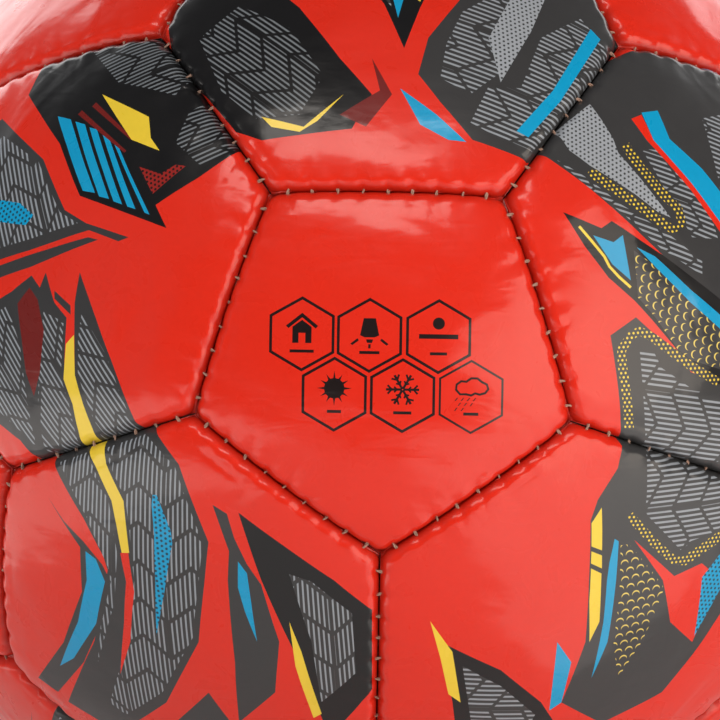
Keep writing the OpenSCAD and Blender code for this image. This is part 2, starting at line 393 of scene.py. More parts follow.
def panel(name, shape, layout, world, seed, body="ball"):
    """One cover panel: printed skin, edges turned in at the seams, and its cloth back."""
    skin = Skin(shape, seed, layout.hole)
    top, inside = skin.points(layout.uv)
    normal = skin.normals(layout.uv)
    verts = [top]
    count = len(top)
    faces = layout.tri.tolist()
    mats = layout.ink.tolist()
    cloth = len(layout.inks)
    side_ink = 0
    # the outer loop, from the first corner on
    ring = np.array(layout.loops[0])
    s, t = shape.seams(lift(layout.uv[ring]))
    k = s.argmin(1)
    reach = shape.reach(GAP)
    f = np.clip((t[np.arange(len(ring)), k] / reach + 1) / 2, 0, 0.99999)
    place = k + f
    start = place.argmin()
    ring, place = np.roll(ring, -start), np.roll(place, -start)
    place = np.maximum.accumulate(place)
    per = 9
    rings = []
    for off, r in ((0.12, 107.2), (0.12, 104.75), (0.32, 104.55), (1.35, 104.55), (1.55, 104.75), (1.6, 108.1)):
        pts, where = ring_points(shape, off, r, per)
        verts.append(pts)
        rings.append(np.arange(count, count + len(pts)))
        count += len(pts)
    # each side's ink goes over the edge with it, so a dark print has a dark seam
    edge_ink = {}
    for tri, ink in zip(layout.tri.tolist(), layout.ink.tolist()):
        for v in tri:
            edge_ink[v] = ink
    strip = stitch_rings(ring.tolist(), place, rings[0].tolist(), where, shape.n)
    for tri in strip:
        faces.append(list(tri))
        first = [v for v in tri if v in edge_ink]
        mats.append(edge_ink.get(first[0], side_ink) if first else side_ink)
    m = len(where)
    loop_ink = np.array([edge_ink[v] for v in ring.tolist()])
    wall_ink = loop_ink[np.abs(place[:, None] - (where + 0.5 / per)[None, :]).argmin(0)]
    for lower, upper in zip(rings[1:], rings[:-1]):
        for i in range(m):
            j = (i + 1) % m
            faces.append([int(upper[i]), int(lower[i]), int(lower[j]), int(upper[j])])
            mats.append(int(wall_ink[i]) if lower is not rings[-1] else cloth)
    # the back, shrinking to the middle or to the valve's hole
    last = rings[-1]
    pts, _ = ring_points(shape, 1.6, 1.0, per)
    back = flat(pts)
    if layout.hole:
        angle = np.arctan2(back[:, 1], back[:, 0])
        target = layout.hole * np.stack([np.cos(angle), np.sin(angle)], 1)
    else:
        target = np.zeros_like(back)
    for f in (0.75, 0.5, 0.25) + ((0.0,) if layout.hole else ()):
        pts = lift(target + (back - target) * f) * 108.15
        verts.append(pts)
        ids = np.arange(count, count + m)
        count += m
        for i in range(m):
            j = (i + 1) % m
            faces.append([int(last[i]), int(ids[i]), int(ids[j]), int(last[j])])
            mats.append(cloth)
        last = ids
    if layout.hole:
        rim = np.array(layout.loops[1])[::-1]
        a = np.mod(np.arctan2(layout.uv[rim, 1], layout.uv[rim, 0]), tau)
        order = a.argmin()
        rim, a = np.roll(rim, -order), np.roll(a, -order)
        if a[1] < a[0] or a[-1] < a[1]:
            rim = np.roll(rim[::-1], 1)
            a = np.mod(np.arctan2(layout.uv[rim, 1], layout.uv[rim, 0]), tau)
        b = np.mod(np.arctan2(target[:, 1], target[:, 0]), tau)
        order = b.argmin()
        low, b = np.roll(last, -order), np.roll(b, -order)
        for tri in stitch_rings(rim.tolist(), a, low.tolist(), b, tau):
            faces.append(list(tri)[::-1])
            mats.append(side_ink)
    else:
        verts.append(np.array([[0, 0, 108.15]]))
        for i in range(m):
            faces.append([int(last[i]), count, int(last[(i + 1) % m])])
            mats.append(cloth)
        count += 1
    xyz = np.concatenate(verts) @ world.T * MM
    mesh = bpy.data.meshes.new(name)
    mesh.from_pydata(xyz.tolist(), [], faces)
    for ink in layout.inks + ["cloth"]:
        mesh.materials.append(MATERIALS[ink])
    mesh.polygons.foreach_set("material_index", mats)
    mesh.polygons.foreach_set("use_smooth", [True] * len(faces))
    # flat-layout coordinates in the print's map, in decimetres round 0.5
    uv = np.zeros((count, 2))
    uv[:len(layout.uv)] = layout.uv
    rest = np.concatenate(verts[1:])
    uv[len(layout.uv):] = R * rest[:, :2] / np.maximum(rest[:, 2:3], 1)
    index = np.zeros(len(mesh.loops), np.int32)
    mesh.loops.foreach_get("vertex_index", index)
    layer = mesh.uv_layers.new(name="print")
    layer.data.foreach_set("uv", (uv[index] / 100 + 0.5).astype(np.float32).ravel())
    seam = mesh.attributes.new("seam_mm", "FLOAT", "POINT")
    value = np.zeros(count, np.float32)
    value[:len(layout.uv)] = inside.clip(0, 30)
    seam.data.foreach_set("value", value)
    mesh.update()
    # true normals on the skin, so that the cut print doesn't show in the gloss
    corner = np.zeros(len(mesh.loops) * 3, np.float32)
    mesh.corner_normals.foreach_get("vector", corner)
    custom = corner.reshape(-1, 3)
    skin_loops = len(layout.tri) * 3
    custom[:skin_loops] = (normal @ world.T)[index[:skin_loops]]
    mesh.normals_split_custom_set(custom.tolist())
    ob = bpy.data.objects.new(name, mesh)
    bpy.context.scene.collection.objects.link(ob)
    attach(ob, body)
    return ob



# ---------------------------------------------------------------- the camera, which the front panels' print is laid out through

FOCAL = 5978.0  # in pixels of a 720 pixel picture
EYE = P[FRONT] * 11 * R
AHEAD = -P[FRONT]
up0 = unit(np.array([0, 0, 1.0]) - AHEAD[2] * AHEAD)
right0 = np.cross(AHEAD, up0)
roll = math.radians(1.15)
RIGHT = math.cos(roll) * right0 + math.sin(roll) * up0
UP = -math.sin(roll) * right0 + math.cos(roll) * up0
AIM = unit(AHEAD - 24 / FOCAL * RIGHT - 3.7 / FOCAL * UP)
RIGHT = unit(RIGHT - (RIGHT @ AIM) * AIM)
UP = np.cross(RIGHT, AIM)


def on_ball(points):
    """Picture points to directions from the ball's middle."""
    p = np.asarray(points, float)
    ray = unit(AIM * FOCAL + (p[:, :1] - 360) * RIGHT + (360 - p[:, 1:]) * UP)
    b = ray @ EYE
    c = EYE @ EYE - 109.2 ** 2
    return unit(EYE + ray * (-b - np.sqrt(b * b - c))[:, None])


def angle_in_view(v):
    return math.degrees(math.atan2(v @ UP, v @ RIGHT))


FRONT_HEX = {}
for i, t in enumerate(T):
    if FRONT in t:
        a = angle_in_view(HEX_AXES[i])
        name = min((("right", 18), ("top", 90), ("left", 162), ("lower_left", -126), ("lower_right", -54)),
                   key=lambda n: abs((a - n[1] + 180) % 360 - 180))[0]
        FRONT_HEX[name] = i


def flatten(points, world):
    d = on_ball(points) @ world
    return flat(d)


def ribbon(points, width):
    """An open band of a given width along a few points."""
    p = np.asarray(points, float)
    step = np.gradient(p, axis=0)
    side = unit(np.stack([-step[:, 1], step[:, 0]], 1)) * width / 2
    return np.concatenate([p + side, (p - side)[::-1]]).tolist()


def closed_ribbon(points, width):
    """A closed band, cut open at one place so that it stays one outline."""
    p = np.asarray(points, float)
    p = np.concatenate([p, p[:1]])
    before, after = np.roll(p[:-1], 1, 0), p[1:]
    step = unit(after - before)
    side = np.stack([-step[:, 1], step[:, 0]], 1)
    side = np.concatenate([side, side[:1]])
    return np.concatenate([p + side * width / 2, (p - side * width / 2)[::-1]]).tolist()


# The front hexagons' print, in picture points. Later shapes lie over earlier ones.
ART = {
    "left": [
        ("black", [(30, 96), (62, 145), (82, 197), (168, 229), (157, 206), (200, 178), (234, 154), (262, 124), (230, 60), (150, 10), (60, 36)]),
        ("cyan", [(60, 118), (73, 121), (97, 194), (85, 192)]),
        ("cyan", [(77.5, 123), (87, 126), (111, 200), (101, 197.5)]),
        ("cyan", [(91.5, 129), (99, 131), (124, 205.5), (115.5, 202.5)]),
        ("cyan", [(104, 134), (110, 136.5), (137, 210), (129, 207.5)]),
        ("cyan", [(115, 143), (118.5, 144), (151, 215.5), (146, 213.5)]),
        ("darkred", [(84, 112), (128, 152), (126, 154), (80, 116)]),
        ("darkred", [(98, 104), (134, 139), (132, 141), (94, 108)]),
        ("yellow", [(104, 96), (150, 118), (152, 139), (161, 152), (133, 141)]),
        ("reddots", [(141, 168), (162, 175), (177, 166), (187, 167), (154, 195)]),
        ("hatch_b", [(177, 144), (190, 112), (222, 92), (243, 126), (235, 149), (202, 167)]),
        ("hatch_b", [(92, 50), (150, 30), (206, 60), (176, 96), (120, 84)]),
        ("charcoal", [(4, 120), (46, 161), (67, 211), (88, 224), (130, 238), (120, 242), (91, 231), (32, 251), (-20, 268), (-60, 230), (-50, 160)]),
        ("hatch_a", [(4, 136), (41, 163), (62, 213), (80, 224), (57, 231), (32, 240), (-14, 254), (-40, 226), (-36, 170)]),
        ("cyandots", [(-4, 200), (22, 204), (36, 216), (28, 226), (-6, 222)]),
        ("charcoal", [(-30, 279), (90, 238), (100, 240.5), (32, 268), (-34, 292)]),
        ("charcoal", [(-44, 330), (14, 292), (34, 276), (42, 288), (48, 273), (57, 303), (69, 318), (66, 380), (75, 404), (84, 446), (60, 458), (40, 466), (22, 440), (-10, 414), (-50, 400)]),
        ("charcoal", [(57, 291), (73, 306), (73, 315), (57, 299)]),
        ("hatch_c", [(46, 312), (66, 322), (63, 378), (71, 404), (79, 446), (58, 455), (45, 452), (40, 404)]),
        ("darkred", [(20, 304), (32, 288), (40, 300), (46, 330), (42, 372), (36, 396), (28, 372), (24, 340)]),
        ("hatch_c", [(-34, 334), (10, 306), (22, 344), (30, 404), (38, 448), (24, 432), (-6, 404), (-42, 390)]),
        ("charcoal", [(82, 273), (98, 318), (113, 360), (136, 422), (152, 440), (99, 452), (85, 404), (77, 375), (77, 303)]),
        ("hatch_c", [(84, 312), (100, 336), (112, 366), (132, 420), (142, 436), (104, 446), (89, 402), (80, 374), (80, 340)]),
        ("yellow", [(68, 344), (76, 335), (77, 375), (85, 404), (101, 452), (84, 456), (74.6, 404), (65.6, 379)]),
    ],
    "lower_left": [
        ("charcoal", [(50, 452), (150, 424), (180, 464), (209.6, 541), (206, 578), (200, 640), (168, 700), (120, 730), (70, 700), (96, 640), (113, 578), (105, 555), (85, 517), (53, 462)]),
        ("hatch_d", [(60, 462), (88, 452), (92, 462), (110, 500), (119, 552), (117, 600), (100, 660), (104, 610), (110, 566), (88, 516)]),
        ("hatch_d", [(106, 448), (146, 434), (176, 466), (204, 542), (200, 578), (194, 636), (164, 690), (128, 712), (112, 700), (130, 640), (136, 578), (131, 530), (127, 498), (110, 462)]),
        ("yellow", [(86, 440), (103, 436), (107, 463), (125, 500), (131, 551.5), (123.5, 551.5), (118, 524.5), (113, 500), (99, 470.5), (89, 452)]),
        ("red", [(122, 551.5), (130, 551.5), (136, 590), (132, 640), (122, 672), (126, 620), (128, 580)]),
        ("cyandots", [(154, 494), (158, 494), (172, 530), (173.6, 542.6), (166, 590), (158, 634), (157, 580), (155.6, 535), (153, 504)]),
        ("charcoal", [(50, 496), (66, 520), (85, 540), (104, 563), (113, 580), (104, 620), (86, 660), (60, 690), (40, 676), (66, 640), (84, 590), (82, 546)]),
        ("cyan", [(87.4, 550), (97.7, 558), (107, 580), (98, 622), (76, 656), (62, 664), (80, 620), (88.7, 578.6)]),
        ("charcoal", [(213.4, 504), (227.6, 513), (235, 537), (248, 563), (262, 583), (280, 640), (276, 690), (240, 720), (236, 660), (228.9, 578.6), (230, 550)]),
        ("cyan", [(239, 560), (248, 572), (252, 600), (258, 640), (246, 610), (239, 586)]),
        ("black", [(239, 511.7), (334, 578.6), (372, 610), (372, 690), (330, 734), (300, 660), (262, 578.6)]),
        ("hatch_d", [(290, 573), (312, 580), (352, 612), (356, 672), (322, 700), (312, 640)]),
        ("yellow", [(290, 620), (302, 650), (322, 712), (314, 716), (296, 664)]),
        ("charcoal", [(150, 742), (210, 690), (232, 720), (226, 760), (170, 770)]),
    ],
    "top": [
        ("black", [(236, 132), (262, 141), (300, 136), (352, 130), (372, 96), (340, 60), (300, 10), (230, -40), (170, 0), (168, 60), (206, 96)]),
        ("hatch_b", [(200, 40), (240, 8), (290, 30), (324, 78), (300, 116), (256, 120), (222, 92)]),
        ("yellow", [(262, 118), (304, 128), (344, 96), (318, 122), (300, 133), (272, 128)]),
        ("darkred", [(340, 116), (380, 92), (372, 60), (392, 96), (366, 128)]),
        ("cyan", [(400, 90), (436, 116), (466, 143), (448, 141), (420, 126)]),
        ("charcoal", [(440, 104), (472, 141), (528, 160.6), (546, 156), (580, 120), (640, 60), (606, 0), (540, -30), (470, -10), (428, 40), (418, 76)]),
        ("hatch_e", [(470, 124), (500, 140), (532, 152), (562, 118), (612, 58), (580, 20), (540, 40), (520, 90), (488, 88)]),
        ("hatch_e", [(440, 80), (470, 96), (506, 70), (524, 24), (500, -6), (462, 14), (446, 46)]),
        ("cyan", [(516, 132), (552, 92), (590, 30), (600, 40), (560, 102), (528, 138)]),
        ("pale", [(488, 40), (516, -10), (548, -8), (530, 34), (500, 84)]),
        ("black", [(330, -70), (404, -110), (470, -80), (440, -30), (420, 10), (404, 50), (384, 6), (352, -30)]),
        ("cyan", [(392, -90), (424, -84), (410, -20), (398, 20), (386, -24)]),
        ("yellow", [(426, -66), (440, -60), (420, 4), (414, 0)]),
        ("hatch_e", [(342, -62), (386, -92), (380, -30), (392, 10), (366, -22)]),
    ],
    "right": [
        ("charcoal", [(534, 148), (589, 190), (640, 236), (663, 258), (689, 277), (740, 322), (800, 330), (860, 250), (850, 130), (790, 60), (680, 40), (600, 60), (566, 104)]),
        ("hatch_f", [(556, 160), (584, 178), (620, 206), (668, 236), (700, 262), (700, 276), (660, 250), (620, 214), (584, 186)]),
        ("hatch_f", [(640, 150), (664, 152), (700, 190), (716, 240), (690, 238), (668, 200)]),
        ("pale", [(556, 130), (590, 104), (612, 140), (617, 154), (668.6, 218.6), (656, 213), (632.6, 195), (589, 167), (569, 151)]),
        ("ydots", ribbon([(588, 172), (600, 181), (633, 204), (658, 222), (671, 231), (680, 224), (676, 210), (656, 190), (638, 168), (624, 146)], 9)),
        ("hatch_f", [(700, 120), (760, 110), (800, 170), (800, 240), (760, 270), (726, 236), (716, 180)]),
        ("red", [(630, 120), (645.4, 141.4), (689, 191.6), (720, 236), (726, 232), (692, 184), (652, 141.4), (640, 116)]),
        ("cyan", [(640, 114), (652, 141.4), (689, 184), (724, 232), (736, 262), (744, 254), (726, 204), (700, 170), (668, 140), (656, 112)]),
        ("black", [(562, 213), (600, 229), (610, 222), (640, 242), (664, 258), (689, 277), (740, 318), (800, 360), (800, 420), (740, 400), (689, 366), (680, 356), (650, 320), (632.6, 301), (607, 278), (584, 247)]),
        ("crescents", [(632, 251), (655, 268), (689, 303), (720, 330), (726, 372), (689, 360), (676, 350), (652, 316), (636, 298)]),
        ("cyan", [(592, 236), (612, 243), (621, 236), (629, 281), (611, 265)]),
        ("yellow", ribbon([(578, 227), (591, 242), (603, 257), (608, 267), (617, 277), (629, 288)], 2.6)),
        ("cyan", [(635, 248), (653, 257), (689, 290.6), (730, 326), (760, 352), (740, 350), (689, 303.4), (655.7, 270)]),
        ("charcoal", [(634, 317.6), (609, 335.6), (613, 360), (619.7, 411), (622, 446), (650, 456), (700, 474), (760, 480), (790, 440), (770, 410), (726, 388), (689, 372), (664, 345)]),
        ("ydots", ribbon([(629, 428), (626, 400), (621, 366), (620, 350), (628, 337), (637, 331), (650, 337), (670, 352), (689, 366), (716, 382)], 9)),
        ("hatch_g", [(638, 350), (652, 352), (660, 368), (689, 388), (740, 404), (756, 440), (700, 470), (646, 451), (642, 400)]),
        ("yellow", [(760, 150), (800, 190), (830, 250), (812, 230), (776, 180)]),
        ("cyan", [(700, 66), (770, 76), (820, 120), (800, 124), (760, 96)]),
    ],
    "lower_right": [
        ("charcoal", [(617, 436), (622, 446), (617, 468), (596.6, 499), (589, 519.4), (587.6, 578.6), (584, 640), (560, 700), (600, 720), (660, 690), (720, 610), (764, 520), (772, 480), (700, 462)]),
        ("hatch_h", [(646.7, 447), (700, 468), (740, 490), (716, 530), (689, 540), (680, 550), (643, 511.7), (645.4, 493.7)]),
        ("yellow", [(600.4, 506.6), (600.4, 549), (590, 545), (590, 522)]),
        ("yellow", [(590, 550), (600.4, 554), (600.4, 567), (589.6, 562)]),
        ("yellow", [(589.6, 567), (600, 572), (598, 620), (588, 640), (588, 600)]),
        ("cyan", [(613, 537.4), (617, 540), (614.6, 578.6), (606, 640), (590, 676), (602, 620), (605.6, 578.6), (608, 560.6)]),
        ("ydots", ribbon([(628, 514), (640, 528), (656, 545), (672, 559), (682, 560), (700, 548), (722, 532)], 9)),
        ("crescents", [(619, 544), (628, 543), (652, 572), (662, 586), (640, 640), (616, 676), (612, 640), (618, 590)]),
        ("red", [(632.6, 538.7), (672.4, 574.7), (700, 562), (716, 576), (690, 640), (668, 620), (660.9, 578.6)]),
        ("cyandots", [(700, 576), (730, 536), (722, 580), (692, 634)]),
        ("black", [(440, 640), (500, 668), (540, 700), (560, 730), (520, 780), (460, 770), (452, 700)]),
        ("hatch_h", [(462, 664), (500, 684), (534, 712), (512, 752), (474, 744)]),
        ("yellow", [(430, 620), (452, 650), (460, 700), (448, 692), (440, 656)]),
        ("cyan", [(556, 640), (570, 660), (560, 700), (548, 708), (552, 676)]),
    ],
}


def icon(points, at, size):
    return [(at[0] + x * size, at[1] - y * size) for x, y in points]


def turn(points, degrees):
    c, s = math.cos(math.radians(degrees)), math.sin(math.radians(degrees))
    return [(x * c - y * s, x * s + y * c) for x, y in points]


def disc(x, y, r, m=24):
    return [(x + r * math.cos(tau * i / m), y + r * math.sin(tau * i / m)) for i in range(m)]


def box(x0, y0, x1, y1):
    return [(x0, y0), (x1, y0), (x1, y1), (x0, y1)]


def badges():
    """Six outlined badges for where the ball may be used: a house, a floodlight, hard ground, sun, snow and rain."""
    out = []
    places = [(302.5, 334), (369.7, 335.5), (438.3, 336.8), (334.5, 394), (402.4, 395.4), (470.5, 396.7)]
    lean = -0.9
    for n, at in enumerate(places):
        hexagon = [(31 * x, 35.75 * y) for x, y in ((0, 1), (-1, .5), (-1, -.5), (0, -1), (1, -.5), (1, .5))]
        width = 3.2 if n < 5 else 2.5
        ring = closed_ribbon(turn(hexagon, lean), width)
        out.append(("print", [(at[0] + x, at[1] - y) for x, y in ring]))
        shapes = []
        if n == 0:
            shapes += [[(0, 21), (-16, 8), (-13.5, 5.5), (0, 16.5), (13.5, 5.5), (16, 8)],
                       [(-9.5, 7), (0, 14), (9.5, 7), (9.5, -9), (3.4, -9), (3.4, 1), (-3.4, 1), (-3.4, -9), (-9.5, -9)]]
        if n == 1:
            shapes += [[(-6, 17), (6, 17), (9.5, 0), (5, -2), (-5, -2), (-9.5, 0)],
                       [(-3.5, -4), (3.5, -4), (2.5, -7.5), (-2.5, -7.5)],
                       [(-12, -3), (-19, -8.5), (-17, -10), (-10.5, -5)], [(12, -3), (19, -8.5), (17, -10), (10.5, -5)],
                       [(-1.2, -8.8), (1.2, -8.8), (1.2, -13), (-1.2, -13)]]
        if n == 2:
            shapes += [disc(0, 13, 6), box(-19.5, -2.3, 19.5, 2.3)]
        if n == 3:
            shapes.append([(a[0], a[1] + 6) for a in
                           [(r * math.cos(math.radians(d)), r * math.sin(math.radians(d)))
                            for k in range(12) for d, r in ((30 * k - 6.5, 10.2), (30 * k, 16 if k % 3 else 17.5), (30 * k + 6.5, 10.2))]])
        if n == 4:
            for k in range(6):
                arm = [box(-1.2, 0.6, 1.2, 16.5), [(0, 9.6), (5, 14.2), (3.6, 15.6), (0, 12.2), (-3.6, 15.6), (-5, 14.2)],
                       [(0, 4.6), (3.4, 7.8), (2.2, 9), (0, 7), (-2.2, 9), (-3.4, 7.8)]]
                for a in arm:
                    shapes.append([(x, y + 6) for x, y in turn(a, 60 * k + 30)])
        if n == 5:
            cloud = [(-15, 7), (-14.5, 12), (-10, 15.5), (-5, 15), (0, 18.5), (6, 18.5), (10.5, 15), (15.5, 12.5), (17, 8), (14, 4),
                     (8.5, 2.4), (4, 3.6), (0, 1.4), (-5, 2.6), (-11, 2.4)]
            shapes.append(closed_ribbon(cloud, 2.3))
            for i, (x, y) in enumerate([(-14, -1), (-8, -1), (-2, -1), (4, -1), (-11, -6), (-5, -6), (1, -6), (-14.5, -11), (-8, -11)]):
                shapes.append([(x, y), (x + 1.2, y), (x - 1.1, y - 3.2), (x - 2.3, y - 3.2)])
        # a short bar under each picture, where the words would be
        half = (12, 10, 8.5, 7, 9, 7.5)[n]
        shapes.append(box(-half, -18.6, half, -15.6))
        for s in shapes:
            out.append(("print", [(at[0] + x, at[1] - y) for x, y in turn(s, lean)]))
    return out


ART["front"] = badges()

# ---------------------------------------------------------------- materials


def srgb(r, g, b):
    return tuple((c / 255 / 12.92) if c / 255 <= 0.04045 else ((c / 255 + 0.055) / 1.055) ** 2.4 for c in (r, g, b)) + (1.0,)


class E:
    """A number that a material's nodes work out, built with ordinary arithmetic."""

    def __init__(self, tree, socket):
        self.tree, self.socket = tree, socket

    def op(self, kind, *others):
        node = self.tree.nodes.new("ShaderNodeMath")
        node.operation = kind
        for slot, value in enumerate((self,) + others):
            if isinstance(value, E):
                self.tree.links.new(value.socket, node.inputs[slot])
            else:
                node.inputs[slot].default_value = value
        return E(self.tree, node.outputs[0])

    def __add__(self, o): return self.op("ADD", o)
    def __radd__(self, o): return self.op("ADD", o)
    def __sub__(self, o): return self.op("SUBTRACT", o)
    def __rsub__(self, o): return (self * -1.0) + o
    def __mul__(self, o): return self.op("MULTIPLY", o)
    def __rmul__(self, o): return self.op("MULTIPLY", o)
    def __truediv__(self, o): return self.op("DIVIDE", o)
    def frac(self): return self.op("FRACT")
    def floor(self): return self.op("FLOOR")
    def abs(self): return self.op("ABSOLUTE")
    def sin(self): return self.op("SINE")
    def max(self, o): return self.op("MAXIMUM", o)
    def min(self, o): return self.op("MINIMUM", o)
    def below(self, o): return self.op("LESS_THAN", o)
    def above(self, o): return self.op("GREATER_THAN", o)

    def ramp(self, a, b, c=0.0, d=1.0):
        """A smooth step from c to d as the number goes from a to b."""
        node = self.tree.nodes.new("ShaderNodeMapRange")
        node.interpolation_type = "SMOOTHSTEP"
        self.tree.links.new(self.socket, node.inputs["Value"])
        for key, value in (("From Min", a), ("From Max", b), ("To Min", c), ("To Max", d)):
            node.inputs[key].default_value = value
        return E(self.tree, node.outputs["Result"])


class Mat:
    """A node material in the making."""

    def __init__(self, name):
        self.mat = bpy.data.materials.new(name)
        self.mat.use_nodes = True
        self.tree = self.mat.node_tree
        self.shader = self.tree.nodes["Principled BSDF"]

    def place(self):
        if not hasattr(self, "_place"):
            self._place = self.tree.nodes.new("ShaderNodeTexCoord").outputs["Object"]
        return self._place

    def noise(self, scale, detail=2.0, rough=0.5, warp=0.0, stretch=None):
        node = self.tree.nodes.new("ShaderNodeTexNoise")
        node.inputs["Scale"].default_value = scale
        node.inputs["Detail"].default_value = detail
        node.inputs["Roughness"].default_value = rough
        node.inputs["Distortion"].default_value = warp
        source = self.place()
        if stretch:
            mapping = self.tree.nodes.new("ShaderNodeMapping")
            mapping.inputs["Scale"].default_value = stretch
            mapping.inputs["Rotation"].default_value = (0.3, 0.5, 0.2)
            self.tree.links.new(source, mapping.inputs["Vector"])
            source = mapping.outputs[0]
        self.tree.links.new(source, node.inputs["Vector"])
        return E(self.tree, node.outputs["Fac"])

    def cells(self, scale, feature="F1"):
        node = self.tree.nodes.new("ShaderNodeTexVoronoi")
        node.feature = feature
        node.inputs["Scale"].default_value = scale
        self.tree.links.new(self.place(), node.inputs["Vector"])
        return E(self.tree, node.outputs["Distance"])

    def print_xy(self):
        """The print's own coordinates, in millimetres from the panel's middle."""
        if not hasattr(self, "_xy"):
            node = self.tree.nodes.new("ShaderNodeUVMap")
            node.uv_map = "print"
            split = self.tree.nodes.new("ShaderNodeSeparateXYZ")
            self.tree.links.new(node.outputs[0], split.inputs[0])
            self._xy = tuple((E(self.tree, split.outputs[k]) - 0.5) * 100.0 for k in (0, 1))
        return self._xy

    def xyz(self):
        split = self.tree.nodes.new("ShaderNodeSeparateXYZ")
        self.tree.links.new(self.place(), split.inputs[0])
        return tuple(E(self.tree, split.outputs[k]) for k in range(3))

    def attribute(self, name):
        node = self.tree.nodes.new("ShaderNodeAttribute")
        node.attribute_name = name
        return E(self.tree, node.outputs["Fac"])

    def mix(self, factor, a, b, kind="MIX"):
        node = self.tree.nodes.new("ShaderNodeMix")
        node.data_type, node.blend_type, node.clamp_factor = "RGBA", kind, True
        slots = [s for s in node.inputs if s.type == "RGBA"]
        for slot, value in zip(slots, (a, b)):
            if isinstance(value, tuple):
                slot.default_value = value
            else:
                self.tree.links.new(value, slot)
        factor_slot = [s for s in node.inputs if s.type == "VALUE"][0]
        if isinstance(factor, E):
            self.tree.links.new(factor.socket, factor_slot)
        else:
            factor_slot.default_value = factor
        return [s for s in node.outputs if s.type == "RGBA"][0]

    def set(self, **values):
        for key, value in values.items():
            slot = self.shader.inputs[key.replace("_", " ")]
            if isinstance(value, E):
                self.tree.links.new(value.socket, slot)
            elif isinstance(value, bpy.types.NodeSocket):
                self.tree.links.new(value, slot)
            else:
                slot.default_value = value

    def bump(self, height, distance=0.001, strength=1.0, coat=True):
        node = self.tree.nodes.new("ShaderNodeBump")
        node.inputs["Distance"].default_value = distance
        node.inputs["Strength"].default_value = strength
        self.tree.links.new(height.socket, node.inputs["Height"])
        self.tree.links.new(node.outputs[0], self.shader.inputs["Normal"])
        if coat:
            self.tree.links.new(node.outputs[0], self.shader.inputs["Coat Normal"])


def shade(colour, k):
    return tuple(min(1.0, c * k) for c in colour[:3]) + (1.0,)


def skin_material(name, colour, pattern=None, rough=0.2, tone=0.10):
    """Printed synthetic leather: a film of colour under a thin clear coat over a fine grain."""
    m = Mat(name)
    broad = m.noise(28, 3.0, 0.55, 0.4)
    fine = m.noise(900, 3.0, 0.6)
    seam = m.attribute("seam_mm")
    base = m.mix((broad - 0.5) * (2.2 * tone) + 0.5, shade(colour, 1 - tone * 1.3), shade(colour, 1 + tone * 0.9))
    if pattern:
        for mask, ink in pattern(m):
            base = m.mix(mask, base, ink)
    base = m.mix((fine.ramp(0.35, 0.75)) * 0.06, base, shade(colour, 0.55), "MIX")
    # painted shade in the seam's groove and beside it, partly grime settled there, and a few pale scuffs
    base = m.mix(seam.ramp(0.2, 1.4, 0.45, 0.0), base, shade(colour, 0.38))
    scuff = m.noise(260, 4.0, 0.7, 1.5, (1, 5, 1)).ramp(0.70, 0.78) * m.noise(40, 1.0).ramp(0.52, 0.7)
    base = m.mix(scuff * 0.12, base, (0.75, 0.62, 0.58, 1))
    film = m.noise(120, 3.0, 0.6, 0.8)
    m.set(Base_Color=base, Roughness=film * 0.22 + (rough - 0.02) + seam.ramp(0.2, 1.4, 0.2, 0.0),
          Specular_IOR_Level=0.24, Coat_Weight=0.6, Coat_Roughness=0.13, Coat_IOR=1.48)
    peel = m.noise(170, 2.0, 0.5, 0.6) * 0.052 + m.noise(70, 2.0, 0.6, 0.5, (1, 1, 4)) * 0.075 + m.noise(55, 1.5, 0.5, 0.8, (1, 2.2, 1)) * 0.36
    grain = m.cells(1900, "SMOOTH_F1") * 0.0035 + m.noise(2600, 1.0) * 0.0015
    m.bump(peel + grain)
    return m.mat


def rotated(m, degrees):
    x, y = m.print_xy()
    c, s = math.cos(math.radians(degrees)), math.sin(math.radians(degrees))
    return x * c + y * s, y * c - x * s


def hatch(degrees, line, pitch=1.05, duty=0.44, run=7.5, slope=0.55, zig=11.0):
    """Short thin lines in slanted blocks; degrees is the lines' direction in the print."""
    def pattern(m):
        along, across = rotated(m, degrees)
        wave = ((across / zig).frac() - 0.5).abs() * (zig * slope * 2)
        block = (along + wave) / run
        row = (across / pitch + (block.floor() * 0.37).frac()).frac()
        lines = row.ramp(duty - 0.05, duty + 0.05, 1.0, 0.0) * row.ramp(0.0, 0.08)
        gate = block.frac().ramp(0.05, 0.08) * block.frac().ramp(0.92, 0.95, 1.0, 0.0)
        column = (across / zig).frac()
        gate = gate * column.ramp(0.03, 0.06) * column.ramp(0.97, 0.99, 1.0, 0.0)
        return [(lines * gate, line)]
    return pattern


def dots(ink, pitch=1.1, radius=0.30, degrees=0.0):
    """Round dots in staggered rows."""
    def pattern(m):
        x, y = rotated(m, degrees)
        row = y / (pitch * 0.866)
        shift = (row.floor() * 0.5).frac() * 1.0
        u = ((x / pitch + shift).frac() - 0.5) * pitch
        v = (row.frac() - 0.5) * (pitch * 0.866)
        far = (u * u + v * v).op("SQRT")
        return [(far.ramp(radius - 0.06, radius + 0.06, 1.0, 0.0), ink)]
    return pattern


def crescents(ink, pitch=2.2):
    """Small upturned crescents in staggered rows, like scales."""
    def pattern(m):
        x, y = rotated(m, -30)
        row = y / (pitch * 0.8)
        shift = (row.floor() * 0.5).frac()
        u = ((x / pitch + shift).frac() - 0.5) * pitch
        v = (row.frac() - 0.5) * (pitch * 0.8)
        outer = (u * u + v * v).op("SQRT").ramp(0.72, 0.84, 1.0, 0.0)
        w = v - 0.30
        inner = (u * u + w * w).op("SQRT").ramp(0.72, 0.84, 0.0, 1.0)
        return [(outer * inner, ink)]
    return pattern


def in_panel(view_angle, name):
    """A direction seen in the picture as one in a front panel's own layout."""
    return view_angle - angle_in_view(HEX_AXES[FRONT_HEX[name]]) + 90


